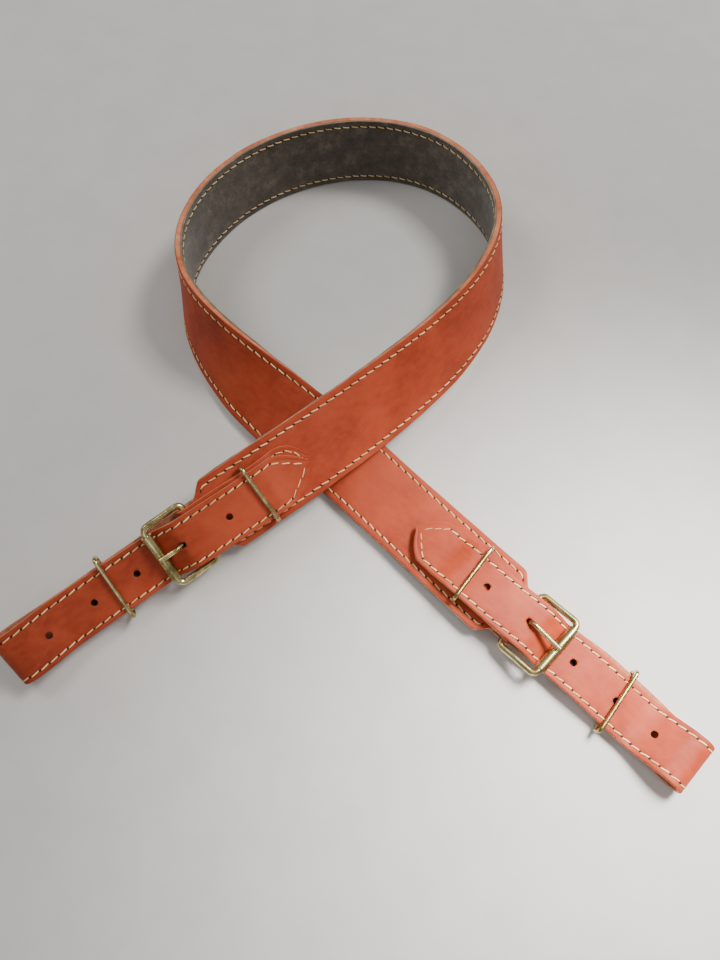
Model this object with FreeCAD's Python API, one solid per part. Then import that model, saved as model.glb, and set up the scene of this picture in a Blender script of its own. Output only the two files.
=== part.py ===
import FreeCAD, Part
import math
import os

# A leather shoulder strap: a lined band laid in a crossed loop, with a roller buckle, two wire
# keepers and a narrow buckled strap at each end. Millimetres, +Z up, z = 0 is the table.

Vector = FreeCAD.Vector

# ---- driving dimensions ------------------------------------------------------------------
BAND_WIDTH = 38.5
LEATHER = 2.8
LINING = 1.2
STRAP_WIDTH = 25.0
STRAP = 2.0
GAP = 0.05
THREAD_GAP = 0.2
BEAD_WIDTH = 0.9
BEAD_HEIGHT = 0.3
BAND_INSET = 3.2
STRAP_INSET = 2.5
HOLE_RADIUS = 1.6
FRAME_WIRE = 3.2
FRAME_REACH = 20.6
FRAME_INSIDE = 28.5
FRAME_TILT = 7.0
ROLLER_OUTER = 5.2
ROLLER_INNER = 3.4
ROLLER_LENGTH = 24.5
PRONG_WIRE = 2.4
KEEPER_WIRE = 2.1
KEEPER_CORNER = 1.8
LEAD = 60.0
NECK_END = -4.6
SHOULDER_START = -14.0
SHOULDER_END = -4.8

BAND = LEATHER + LINING
HALF_BAND = BAND_WIDTH / 2
HALF_STRAP = STRAP_WIDTH / 2
HEEL_Z = 2.0
BAR_RADIUS = FRAME_WIRE / 2
FRAME_HALF = FRAME_INSIDE / 2 + BAR_RADIUS
COIL_RADIUS = BAR_RADIUS + 0.1 + PRONG_WIRE / 2

# ---- heights in an end's own frame (x out along the strap, z = 0 under the band) -----------
ON_BAND = BAND + GAP + STRAP / 2
KEEPER_LOW = BAND + BEAD_HEIGHT + GAP + KEEPER_WIRE / 2
OVER_KEEPER = KEEPER_LOW + KEEPER_WIRE / 2 + GAP + STRAP / 2
ON_TONGUE = ON_BAND + STRAP + BEAD_HEIGHT + THREAD_GAP
TAIL_OVER_KEEPER = OVER_KEEPER + STRAP + BEAD_HEIGHT + THREAD_GAP
KEEPER_HIGH = TAIL_OVER_KEEPER + STRAP / 2 + BEAD_HEIGHT + GAP + KEEPER_WIRE / 2
KEEPER_RISE = KEEPER_HIGH - KEEPER_LOW
UNDER_BAND = -GAP - STRAP / 2
FIXED_END = UNDER_BAND - STRAP - THREAD_GAP
FOLD_RADIUS = BAR_RADIUS + 0.1 + STRAP / 2
ROLLER_X = FRAME_REACH * math.cos(math.radians(FRAME_TILT))
ROLLER_Z = HEEL_Z + FRAME_REACH * math.sin(math.radians(FRAME_TILT))
UNDER_ROLLER = ROLLER_Z - ROLLER_OUTER / 2 - BEAD_HEIGHT - GAP - STRAP / 2

# ---- the band's route: control points of a clamped cubic B-spline ------------------------
MID_ROUTE = [(-8, 45, 4.9), (-38, 67, 9.6), (-72, 95, 17.6), (-102, 137, 20.6), (-91, 186, 19.5),
             (-52, 223, 19.5), (1, 236, 19.5), (46, 224, 19.6), (76, 185, 19.5), (71, 142, 22.3),
             (42, 97, 21.0)]
MID_LEAN = [4, 18, 54, 84, 98, 100, 99, 94, 86, 71, 50]
ROUTE_STEPS = 120
PLACE = Vector(7.595, -63.866, -0.033)


class EndFrame:
    """Where one end lies: x runs out along the strap, y across it, z through it."""

    def __init__(self, origin, heading, tilt, roll):
        head, rise, lean = (math.radians(angle) for angle in (heading, tilt, roll))
        self.origin = Vector(*origin) + PLACE
        self.x = Vector(math.cos(head) * math.cos(rise), math.sin(head) * math.cos(rise), math.sin(rise))
        level = Vector(-math.sin(head), math.cos(head), 0)
        normal = self.x.cross(level)
        self.y = level * math.cos(lean) + normal * math.sin(lean)
        self.z = self.x.cross(self.y)
        self.roll = roll

    def point(self, x, y, z):
        return self.origin + self.x * x + self.y * y + self.z * z

    def place(self, shape):
        matrix = FreeCAD.Matrix(self.x.x, self.y.x, self.z.x, self.origin.x,
                                self.x.y, self.y.y, self.z.y, self.origin.y,
                                self.x.z, self.y.z, self.z.z, self.origin.z,
                                0, 0, 0, 1)
        placed = shape.copy()
        placed.Placement = FreeCAD.Placement(matrix).multiply(placed.Placement)
        return placed


RIGHT = EndFrame((72.1, -34.2, 5.85), -44.5, 3.0, 0.0)
LEFT = EndFrame((-79.0, 6.7, 17.4), -144.5, -3.6, -33.0)

# Per end: the tongue's end and the sideways place of the folded strap, the tail's end and its
# point's length, both keepers, the prong's rise, knee and play, the buckle's sideways place, the
# punched holes from the prong's, the run under the sliding keeper, the bight, the sideways drift.
SIDES = {
    "right": dict(frame=RIGHT, tongue=-58.5, chape_y=-0.5, tail=-64.2, tip=11.0,
                  fixed_x=-29.2, fixed_y=-1.0, fixed_skew=6.0,
                  sliding_x=53.8, sliding_y=2.5, sliding_skew=6.0,
                  prong_rise=78.0, prong_knee=11.2, prong_bend=2.4, prong_play=0.85, buckle_y=0.0,
                  holes=[-25.2, 27.0, 51.5, 72.6],
                  run_end=68.8, run_z=-2.35, run_slope=-0.15, bight_x=90.8, bight_z=-3.7,
                  drift=[-1.5, -1.6, -1.9, -1.9, 0.2, 1.4, 2.0, 2.2, 3.2, 4.2, 4.4, 3.0, 1.0, 0.2, 0]),
    "left": dict(frame=LEFT, tongue=-61.5, chape_y=0.5, tail=-61.2, tip=15.0,
                 fixed_x=-32.9, fixed_y=1.0, fixed_skew=2.0,
                 sliding_x=46.0, sliding_y=0.9, sliding_skew=-3.0,
                 prong_rise=41.0, prong_knee=9.0, prong_bend=3.4, prong_play=1.2, buckle_y=1.0,
                 holes=[-25.6, 26.0, 48.8, 73.0],
                 run_end=74.0, run_z=0.6, run_slope=0.0, bight_x=96.0, bight_z=1.7,
                 drift=[2.2, 2.1, 1.9, 1.8, 1.7, 1.2, 1.3, 1.6, 1.5, 1.2, 1.0, 0.8, 0.4, 0.1, 0]),
}
BIGHT_RADIUS = 5.2
RUN_START = 37.0
FIXED_KEEPER_INSIDE = 27.8
SLIDING_KEEPER_INSIDE = 30.0
LEG_END = -20.0
ROW_BAND = HALF_BAND - BAND_INSET
ROW_STRAP = HALF_STRAP - STRAP_INSET


def spline(values, u):
    """Clamped uniform cubic B-spline through control values, u from 0 to 1."""
    spans = len(values) - 3
    x = min(max(u, 0.0), 1.0) * spans
    first = min(int(x), spans - 1)
    knots = [0] * 3 + list(range(spans + 1)) + [spans] * 3
    work = values[first:first + 4]
    for level in range(1, 4):
        for j in range(3, level - 1, -1):
            low = knots[first + j]
            high = knots[first + j + 4 - level]
            share = (x - low) / (high - low)
            work[j] = work[j - 1] * (1 - share) + work[j] * share
    return work[3]


class Station:
    """A place along a strap: point, normal through the thickness, direction across."""

    def __init__(self, point, normal, across, travel):
        self.point = point
        self.normal = normal
        self.across = across
        self.travel = travel

    def at(self, y, z):
        return self.point + self.across * y + self.normal * z


def ribbon(stations, y0, y1, low, high):
    """Closed solid that follows the stations between two offsets across and two through."""
    corners = ((y0, low), (y1, low), (y1, high), (y0, high))
    travel = [station.travel for station in stations]
    curves = []
    for y, z in corners:
        curve = Part.BSplineCurve()
        curve.interpolate(Points=[station.at(y, z) for station in stations], Parameters=travel)
        curves.append(curve)
    faces = []
    for first, second in zip(curves, curves[1:] + curves[:1]):
        side = Part.BSplineSurface()
        side.buildFromPolesMultsKnots([first.getPoles(), second.getPoles()], [2, 2],
                                      first.getMultiplicities(), [0, 1], first.getKnots(),
                                      False, False, 1, first.Degree)
        faces.append(side.toShape())
    for station in (stations[0], stations[-1]):
        ring = [station.at(y, z) for y, z in corners]
        faces.append(Part.Face(Part.makePolygon(ring + ring[:1])))
    skin = Part.makeCompound(faces)
    skin.sewShape()
    solid = Part.makeSolid(skin.Shells[0])
    if solid.Volume < 0:
        solid.reverse()
    return solid


def rounded_path(vertices, step=3.0):
    """Points (x, z, direction, travel) along straight runs joined by tangent arcs."""
    points = []
    travel = 0.0
    here = Vector(vertices[0][0], vertices[0][1], 0)
    for index in range(1, len(vertices)):
        corner = Vector(vertices[index][0], vertices[index][1], 0)
        heading = (corner - here).normalize()
        reach = 0.0
        if index < len(vertices) - 1:
            after = Vector(vertices[index + 1][0], vertices[index + 1][1], 0) - corner
            turn = math.atan2(heading.x * after.y - heading.y * after.x, heading.dot(after))
            radius = vertices[index][2]
            reach = radius * math.tan(abs(turn) / 2)
        run = (corner - here).Length - reach
        count = max(1, math.ceil(run / step))
        if run > 0.01:
            for k in range(count):
                points.append((here + heading * (run * k / count), heading, travel + run * k / count))
        travel += max(run, 0.0)
        here = corner - heading * reach
        if reach > 0:
            side = 1 if turn > 0 else -1
            centre = here + Vector(-heading.y, heading.x, 0) * (side * radius)
            pieces = max(2, math.ceil(abs(math.degrees(turn)) / 12))
            for k in range(pieces):
                angle = turn * k / pieces
                spoke = here - centre
                cosine, sine = math.cos(angle), math.sin(angle)
                point = centre + Vector(spoke.x * cosine - spoke.y * sine, spoke.x * sine + spoke.y * cosine, 0)
                facing = Vector(heading.x * cosine - heading.y * sine, heading.x * sine + heading.y * cosine, 0)
                points.append((point, facing, travel + radius * abs(angle)))
            travel += radius * abs(turn)
            here = centre + Vector(spoke.x * math.cos(turn) - spoke.y * math.sin(turn),
                                   spoke.x * math.sin(turn) + spoke.y * math.cos(turn), 0)
    points.append((here, heading, travel))
    return points


def strap_stations(vertices, drift):
    """Stations of a narrow strap in its end's own frame, drifting sideways along its length."""
    path = rounded_path(vertices)
    length = path[-1][2]
    stations = []
    for point, facing, travel in path:
        y = spline(drift, travel / length)
        stations.append(Station(Vector(point.x, y, point.y), Vector(-facing.y, 0, facing.x),
                                Vector(0, 1, 0), travel))
    return stations


def crop(stations, start, end):
    return [station for station in stations if start <= station.travel <= end]


def swept_rod(edges, radius):
    """Round rod along a path of tangent edges, given in order."""
    wire = Part.Wire(edges)
    first = wire.Edges[0]
    start = first.valueAt(first.FirstParameter)
    tangent = first.tangentAt(first.FirstParameter)
    profile = Part.Wire(Part.makeCircle(radius, start, tangent))
    return wire.makePipeShell([profile], True, False)


def wire_loop(half_x, half_y, near_corner, far_corner, radius):
    """Rounded rectangle of round wire in the XY plane, from x = 0 to x = 2 * half_x."""
    halves = []
    for side in (1, -1):
        far = 2 * half_x
        edge = side * half_y
        points = [(0, 0), (0, edge - side * near_corner), (near_corner, edge),
                  (far - far_corner, edge), (far, edge - side * far_corner), (far, 0)]
        points = [Vector(x, y, 0) for x, y in points]
        bend = 1 - math.sqrt(0.5)
        near_middle = Vector(near_corner * bend, edge - side * near_corner * bend, 0)
        far_middle = Vector(far - far_corner * bend, edge - side * far_corner * bend, 0)
        edges = [Part.LineSegment(points[0], points[1]).toShape(),
                 Part.Arc(points[1], near_middle, points[2]).toShape(),
                 Part.LineSegment(points[2], points[3]).toShape(),
                 Part.Arc(points[3], far_middle, points[4]).toShape(),
                 Part.LineSegment(points[4], points[5]).toShape()]
        halves.append(swept_rod(edges, radius))
    return halves[0].fuse(halves[1])


def cylinder_y(x, z, radius, length):
    return Part.makeCylinder(radius, length, Vector(x, -length / 2, z), Vector(0, 1, 0))


# ---- the band ----------------------------------------------------------------------------
def band_stations():
    """The band between the two straight ends, from the right end round to the left."""
    controls = []
    for frame in (RIGHT, LEFT):
        start = frame.point(-LEAD, 0, BAND / 2)
        controls.append([start, start - frame.x * 15])
    route = controls[0] + [Vector(*point) + PLACE for point in MID_ROUTE] + controls[1][::-1]
    lean = [-RIGHT.roll] * 2 + MID_LEAN + [-LEFT.roll] * 2
    stations = []
    travel = 0.0
    previous = route[0]
    for step in range(ROUTE_STEPS + 1):
        u = step / ROUTE_STEPS
        point = spline(route, u)
        facing = (spline(route, min(u + 0.0005, 1.0)) - spline(route, max(u - 0.0005, 0.0))).normalize()
        if step == 0:
            facing = -RIGHT.x
        if step == ROUTE_STEPS:
            facing = Vector(LEFT.x)
        left = Vector(0, 0, 1).cross(facing).normalize()
        flat = facing.cross(left)
        angle = math.radians(spline(lean, u))
        normal = flat * math.cos(angle) + left * math.sin(angle)
        travel += (point - previous).Length
        previous = point
        stations.append(Station(point, normal, facing.cross(normal), travel))
    return stations


def neck_outline():
    """Plan of a band end: full width, a rounded shoulder each side, then the narrow neck."""
    half_step = (HALF_BAND - HALF_STRAP) / 2
    middle_x = (SHOULDER_START + SHOULDER_END) / 2
    middle_y = HALF_STRAP + half_step
    run = middle_x - SHOULDER_START
    radius = (run * run + half_step * half_step) / (2 * half_step)
    turn = math.asin(run / radius) / 2
    sag = radius * (1 - math.cos(turn))
    reach = radius * math.sin(turn)
    side = []
    for sign in (1, -1):
        start = Vector(SHOULDER_START, sign * HALF_BAND, 0)
        bulge = Vector(SHOULDER_START + reach, sign * (HALF_BAND - sag), 0)
        middle = Vector(middle_x, sign * middle_y, 0)
        hollow = Vector(SHOULDER_END - reach, sign * (HALF_STRAP + sag), 0)
        end = Vector(SHOULDER_END, sign * HALF_STRAP, 0)
        side.append((start, bulge, middle, hollow, end))
    edges = []
    for sign, (start, bulge, middle, hollow, end) in zip((1, -1), side):
        edges.append(Part.LineSegment(Vector(-LEAD, sign * HALF_BAND, 0), start).toShape())
        edges.append(Part.Arc(start, bulge, middle).toShape())
        edges.append(Part.Arc(middle, hollow, end).toShape())
        edges.append(Part.LineSegment(end, Vector(NECK_END, sign * HALF_STRAP, 0)).toShape())
    for x, half in ((-LEAD, HALF_BAND), (NECK_END, HALF_STRAP)):
        edges.append(Part.LineSegment(Vector(x, -half, 0), Vector(x, half, 0)).toShape())
    return Part.Face(Part.Wire(Part.__sortEdges__(edges)))


def band_layer(stations, low, high):
    """One layer of the band, z from low to high above the band's underside."""
    layer = ribbon(stations, -HALF_BAND, HALF_BAND, low - BAND / 2, high - BAND / 2)
    for frame in (RIGHT, LEFT):
        end = neck_outline().extrude(Vector(0, 0, high - low))
        end.translate(Vector(0, 0, low))
        layer = layer.fuse(frame.place(end))
    return layer


def band_thread(stations):
    """Four raised rows: both edges, on the grain and on the lining."""
    rows = []
    for low in (BAND, -BEAD_HEIGHT):
        for sign in (1, -1):
            inner = sign * ROW_BAND - BEAD_WIDTH / 2
            row = ribbon(stations, inner, inner + BEAD_WIDTH, low - BAND / 2, low - BAND / 2 + BEAD_HEIGHT)
            for frame in (RIGHT, LEFT):
                end = Part.makeBox(LEAD + SHOULDER_START - 1, BEAD_WIDTH, BEAD_HEIGHT, Vector(-LEAD, inner, low))
                row = row.fuse(frame.place(end))
            rows.append(row)
    return Part.makeCompound(rows)


# ---- what one end is made of, in the end's own frame ---------------------------------------
def run_height(side, x):
    return side["run_z"] + side["run_slope"] * (x - side["sliding_x"])


def billet_stations(side):
    """From the tail's tip, through the buckle, round the bight and back under the neck."""
    keeper = side["fixed_x"]
    below = STRAP + GAP
    crown = side["bight_z"] + BIGHT_RADIUS
    floor = side["bight_z"] - BIGHT_RADIUS
    fold = side["bight_x"] + BIGHT_RADIUS
    run_end = side["run_end"]
    vertices = [
        (side["tail"], ON_TONGUE),
        (keeper - 14, ON_TONGUE, 14),
        (keeper - 6.5, TAIL_OVER_KEEPER, 10),
        (keeper + 6.5, TAIL_OVER_KEEPER, 14),
        (8.2, 7.2, 7),
        (18.4, UNDER_ROLLER, 7),
        (RUN_START, run_height(side, RUN_START), 25),
        (run_end, run_height(side, run_end), 24),
        (side["bight_x"] - 4, crown, 16),
        (fold, crown, BIGHT_RADIUS),
        (fold, floor, BIGHT_RADIUS),
        (side["bight_x"] - 5, floor, 18),
        (run_end, run_height(side, run_end) - below, 24),
        (RUN_START, run_height(side, RUN_START) - below, 24),
        (12, FIXED_END, 24),
        (LEG_END, FIXED_END),
    ]
    return strap_stations(vertices, side["drift"])


def tail_tip_waste(side, y):
    """What is trimmed off the tail to leave its pointed tip, apex at the tail's start."""
    tail = side["tail"]
    shoulder = tail + side["tip"]
    outline = []
    for sign in (1, -1):
        nose = Vector(tail + 1.0, y + sign * 1.8, 0)
        bow = Vector(tail + side["tip"] * 0.5, y + sign * (HALF_STRAP * 0.5 + 2.2), 0)
        edge = Vector(shoulder, y + sign * HALF_STRAP, 0)
        out = Vector(shoulder, y + sign * 17, 0)
        back = Vector(tail - 2, y + sign * 17, 0)
        tip = Vector(tail - 2, y, 0)
        apex = Vector(tail, y, 0)
        round_nose = Vector(tail + 0.3, y + sign * 1.0, 0)
        edges = [Part.Arc(apex, round_nose, nose).toShape(), Part.Arc(nose, bow, edge).toShape(),
                 Part.makePolygon([edge, out, back, tip, apex])]
        face = Part.Face(Part.Wire(Part.__sortEdges__(edges[:2] + edges[2].Edges)))
        outline.append(face.extrude(Vector(0, 0, STRAP + 2)))
        outline[-1].translate(Vector(0, 0, ON_TONGUE - STRAP / 2 - 1))
    return outline


def prong_line(side):
    """The rising part of a prong: where it leaves its coil, its direction and its knee."""
    rise = math.radians(side["prong_rise"])
    along = Vector(math.cos(rise), 0, math.sin(rise))
    start = Vector(COIL_RADIUS * math.sin(rise), side["buckle_y"], HEEL_Z - COIL_RADIUS * math.cos(rise))
    knee = start + along * ((side["prong_knee"] - start.z) / along.z)
    return start, along, knee


def prong_travel(side, stations):
    """Distance along the strap to where the prong comes through it."""
    start, along, knee = prong_line(side)
    for before, after in zip(stations, stations[1:]):
        through = start + along * ((after.point.z - start.z) / along.z)
        if after.point.x >= through.x:
            return (before.travel + after.travel) / 2


def between(stations, travel):
    """Station at a distance along the strap, by linear steps."""
    for before, after in zip(stations, stations[1:]):
        if before.travel <= travel <= after.travel:
            share = (travel - before.travel) / (after.travel - before.travel)
            point = before.point + (after.point - before.point) * share
            normal = (before.normal + (after.normal - before.normal) * share).normalize()
            return Station(point, normal, before.across, travel)


def prong_hole(side):
    """Slot along the rising prong, with room behind it for the prong's play."""
    start, along, knee = prong_line(side)
    play = Vector(-along.z, 0, along.x) * side["prong_play"]
    bar = PRONG_WIRE / 2 + 0.12
    foot = start + along * 3.5
    length = (knee - foot).Length
    tools = [Part.makeCylinder(bar, length, foot + shift, along) for shift in (Vector(), play)]
    near = foot - Vector(0, bar, 0)
    far = foot + Vector(0, bar, 0)
    slab = Part.Face(Part.makePolygon([near, near + play, far + play, far, near]))
    tools.append(slab.extrude(along * length))
    return tools[0].fuse(tools[1:])


def billet(side, stations):
    shape = ribbon(stations, -HALF_STRAP, HALF_STRAP, -STRAP / 2, STRAP / 2)
    shape = shape.cut(tail_tip_waste(side, stations[0].point.y))
    shape = shape.cut(prong_hole(side))
    prong = prong_travel(side, stations)
    for distance in side["holes"]:
        station = between(stations, prong + distance)
        start = station.point - station.normal * (STRAP + 1) / 2
        shape = shape.cut(Part.makeCylinder(HOLE_RADIUS, STRAP + 1, start, station.normal))
    return shape


def flat_bar(start, end, low):
    """Straight thread run between two plan points at height low."""
    along = Vector(end[0] - start[0], end[1] - start[1], 0)
    bar = Part.makeBox(along.Length, BEAD_WIDTH, BEAD_HEIGHT, Vector(0, -BEAD_WIDTH / 2, 0))
    bar.rotate(Vector(0, 0, 0), Vector(0, 0, 1), math.degrees(math.atan2(along.y, along.x)))
    bar.translate(Vector(start[0], start[1], low))
    return bar


def billet_thread(side, stations):
    """Raised rows on the grain, both edges and the two sides of the tip."""
    length = stations[-1].travel
    rows = []
    y0 = stations[0].point.y
    top = ON_TONGUE + STRAP / 2
    run = crop(stations, side["tip"] + 1, length - 26)
    for sign in (1, -1):
        inner = sign * ROW_STRAP - BEAD_WIDTH / 2
        rows.append(ribbon(run, inner, inner + BEAD_WIDTH, STRAP / 2, STRAP / 2 + BEAD_HEIGHT))
        tip = (side["tail"] + 3.6, y0 + sign * 0.7)
        rows.append(flat_bar((run[0].point.x, y0 + sign * ROW_STRAP), tip, top))
    return Part.makeCompound(rows)


def chape_stations(side):
    """From the tongue's end on the band, over the keeper's wire, round the bar and back."""
    keeper = side["fixed_x"]
    fold_top = HEEL_Z + FOLD_RADIUS
    fold_low = HEEL_Z - FOLD_RADIUS
    vertices = [
        (side["tongue"], ON_BAND),
        (keeper - 14, ON_BAND, 14),
        (keeper - 6.5, OVER_KEEPER, 10),
        (keeper + 6.5, OVER_KEEPER, 10),
        (keeper + 14, ON_BAND, 14),
        (NECK_END, ON_BAND, 8),
        (-0.6, fold_top, 4),
        (FOLD_RADIUS, fold_top, FOLD_RADIUS),
        (FOLD_RADIUS, fold_low, FOLD_RADIUS),
        (-0.6, fold_low, 4),
        (NECK_END, UNDER_BAND, 8),
        (LEG_END, UNDER_BAND),
    ]
    return strap_stations(vertices, [side["chape_y"]] * 5)


def chape(side, stations):
    """Folded strap with a round-ended tongue and a slot for the prong at the fold."""
    shape = ribbon(stations, -HALF_STRAP, HALF_STRAP, -STRAP / 2, STRAP / 2)
    y = side["chape_y"]
    middle = side["tongue"] + HALF_STRAP
    block = Part.makeBox(HALF_STRAP + 1, STRAP_WIDTH + 2, STRAP + 1,
                         Vector(side["tongue"] - 1, y - HALF_STRAP - 1, ON_BAND - STRAP / 2 - 0.5))
    round_end = Part.makeCylinder(HALF_STRAP, STRAP + 3, Vector(middle, y, ON_BAND - STRAP / 2 - 1.5))
    shape = shape.cut(block.cut(round_end))
    slot_half = PRONG_WIRE / 2 + 0.3
    slot = Part.makeBox(9.2, 2 * slot_half, 12, Vector(-4.4, side["buckle_y"] - slot_half, -4))
    return shape.cut(slot)


def chape_thread(side, stations):
    """Raised row round the tongue, on its top face."""
    middle = side["tongue"] + HALF_STRAP
    run = crop(stations, HALF_STRAP, HALF_STRAP + side["fixed_x"] + 14 - middle + 1)
    rows = []
    for sign in (1, -1):
        inner = sign * ROW_STRAP - BEAD_WIDTH / 2
        rows.append(ribbon(run, inner, inner + BEAD_WIDTH, STRAP / 2, STRAP / 2 + BEAD_HEIGHT))
    low = Vector(middle, side["chape_y"], ON_BAND + STRAP / 2)
    outer = Part.makeCylinder(ROW_STRAP + BEAD_WIDTH / 2, BEAD_HEIGHT, low)
    inner = Part.makeCylinder(ROW_STRAP - BEAD_WIDTH / 2, BEAD_HEIGHT, low)
    half = Part.makeBox(STRAP_WIDTH, STRAP_WIDTH, 2, low + Vector(0, -HALF_STRAP, -1))
    rows.append(outer.cut(inner).cut(half))
    return Part.makeCompound(rows)


def buckle_frame():
    shape = wire_loop(FRAME_REACH / 2, FRAME_HALF, 2.5, 2.8, BAR_RADIUS)
    shape.translate(Vector(0, 0, HEEL_Z))
    shape.rotate(Vector(0, 0, HEEL_Z), Vector(0, 1, 0), -FRAME_TILT)
    return shape


def buckle_roller():
    outer = cylinder_y(ROLLER_X, ROLLER_Z, ROLLER_OUTER / 2, ROLLER_LENGTH)
    return outer.cut(cylinder_y(ROLLER_X, ROLLER_Z, ROLLER_INNER / 2, ROLLER_LENGTH + 1))


def buckle_prong(side):
    """Wire coiled round the heel bar, rising through the strap and lying on the roller."""
    y = side["buckle_y"]
    end, along, knee = prong_line(side)
    coil = []
    for angle in (75, 200):
        turned = math.radians(angle)
        coil.append(Vector(COIL_RADIUS * math.cos(turned), y, HEEL_Z + COIL_RADIUS * math.sin(turned)))
    start, middle = coil
    rest = Vector(ROLLER_X, y, ROLLER_Z + ROLLER_OUTER / 2 + PRONG_WIRE / 2 + 0.1)
    ahead = (rest - knee).normalize()
    turn = along.getAngle(ahead)
    radius = side["prong_bend"]
    reach = radius * math.tan(turn / 2)
    before, after = knee - along * reach, knee + ahead * reach
    inward = (ahead - along).normalize()
    centre = knee + inward * (radius / math.cos(turn / 2))
    tip = rest + ahead * 0.8
    edges = [Part.Arc(start, middle, end).toShape(), Part.LineSegment(end, before).toShape(),
             Part.Arc(before, centre - inward * radius, after).toShape(),
             Part.LineSegment(after, tip).toShape()]
    return swept_rod(edges, PRONG_WIRE / 2)


def keeper(inside, x, y, low, tilt, skew):
    """Wire keeper round the straps, its lower wire at height low above x, y."""
    half = (inside + KEEPER_WIRE) / 2
    shape = wire_loop(KEEPER_RISE / 2, half, KEEPER_CORNER, KEEPER_CORNER, KEEPER_WIRE / 2)
    shape.rotate(Vector(0, 0, 0), Vector(0, 1, 0), -90)
    shape.rotate(Vector(0, 0, 0), Vector(0, 0, 1), skew)
    shape.rotate(Vector(0, 0, 0), Vector(0, 1, 0), tilt)
    shape.translate(Vector(x, y, low))
    return shape


def end_nodes(name, side):
    billet_line = billet_stations(side)
    chape_line = chape_stations(side)
    slope = math.degrees(math.atan(side["run_slope"]))
    run_low = run_height(side, side["sliding_x"]) - STRAP * 1.5 - GAP * 2 - BEAD_HEIGHT - KEEPER_WIRE / 2
    nodes = {
        "billet_strap": billet(side, billet_line),
        "billet_stitching": billet_thread(side, billet_line),
        "chape": chape(side, chape_line),
        "chape_stitching": chape_thread(side, chape_line),
        "buckle_frame": buckle_frame(),
        "buckle_roller": buckle_roller(),
        "buckle_prong": buckle_prong(side),
        "fixed_keeper": keeper(FIXED_KEEPER_INSIDE, side["fixed_x"], side["fixed_y"], KEEPER_LOW, 0,
                               side["fixed_skew"]),
        "sliding_keeper": keeper(SLIDING_KEEPER_INSIDE, side["sliding_x"], side["sliding_y"], run_low,
                                 -slope, side["sliding_skew"]),
    }
    for node in ("buckle_frame", "buckle_roller"):
        nodes[node].translate(Vector(0, side["buckle_y"], 0))
    return {f"{name}_{node}": side["frame"].place(shape) for node, shape in nodes.items()}


def main():
    os.makedirs("parts", exist_ok=True)
    band = band_stations()
    nodes = {
        "band_lining": band_layer(band, 0, LINING),
        "band_leather": band_layer(band, LINING, BAND),
        "band_stitching": band_thread(band),
    }
    for name, side in SIDES.items():
        nodes.update(end_nodes(name, side))
    for name, shape in nodes.items():
        shape.exportStep(f"parts/{name}.step")
        box = shape.BoundBox
        print(f"{name:26s} solids {len(shape.Solids)} valid {shape.isValid()} volume {shape.Volume:9.1f}"
              f" z {box.ZMin:6.2f} to {box.ZMax:6.2f}")


main()
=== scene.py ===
import math
from collections import namedtuple

import bpy
import numpy as np
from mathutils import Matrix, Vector


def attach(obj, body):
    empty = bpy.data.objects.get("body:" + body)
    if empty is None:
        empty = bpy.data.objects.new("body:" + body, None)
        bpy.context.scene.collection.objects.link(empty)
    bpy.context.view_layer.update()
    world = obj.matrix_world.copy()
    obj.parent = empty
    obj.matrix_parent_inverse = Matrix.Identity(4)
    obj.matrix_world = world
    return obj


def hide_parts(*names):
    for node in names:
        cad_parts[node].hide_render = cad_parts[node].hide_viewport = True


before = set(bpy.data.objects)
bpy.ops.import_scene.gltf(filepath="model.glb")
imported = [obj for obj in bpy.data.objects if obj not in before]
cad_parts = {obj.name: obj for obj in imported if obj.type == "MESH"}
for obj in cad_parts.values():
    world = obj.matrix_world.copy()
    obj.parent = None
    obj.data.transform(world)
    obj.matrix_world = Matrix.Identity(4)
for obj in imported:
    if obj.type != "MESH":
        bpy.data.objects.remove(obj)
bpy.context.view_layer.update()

# A lined leather shoulder strap lying in a crossed loop. Lengths are millimetres until a mesh is
# made. The strap's lines are the same as the CAD model's.
MM = 0.001

# ---- the strap's measures ----------------------------------------------------------------------
BAND_WIDTH = 38.5
LEATHER = 2.8
LINING = 1.2
STRAP_WIDTH = 25.0
STRAP = 2.0
# Gaps between layers, and how high a row of stitches stands.
GAP = 0.05
THREAD_GAP = 0.2
BEAD = 0.3
# Rows of stitches, inwards from the edges.
BAND_INSET = 3.2
STRAP_INSET = 2.5
# Punched holes, the one that the prong stands in, and the slot in the chape's fold.
HOLE_RADIUS = 1.6
PRONG_ROOM = 0.2
PRONG_MIDDLE = 7.5
SLOT_X = 0.2
SLOT_ROOM = 0.35
SLOT_STRETCH = 6.2
# Metal that the leather goes round.
FRAME_WIRE = 3.2
FRAME_REACH = 20.6
FRAME_TILT = math.radians(7.0)
ROLLER_OUTER = 5.2
PRONG_WIRE = 2.4
KEEPER_WIRE = 2.1
# Places along an end, outwards from the buckle's heel bar.
LEAD = 60.0
NECK_END = -4.6
SHOULDER_START = -14.0
SHOULDER_END = -4.8
LEG_END = -20.0
RUN_START = 37.0
BIGHT_RADIUS = 5.2

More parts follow.
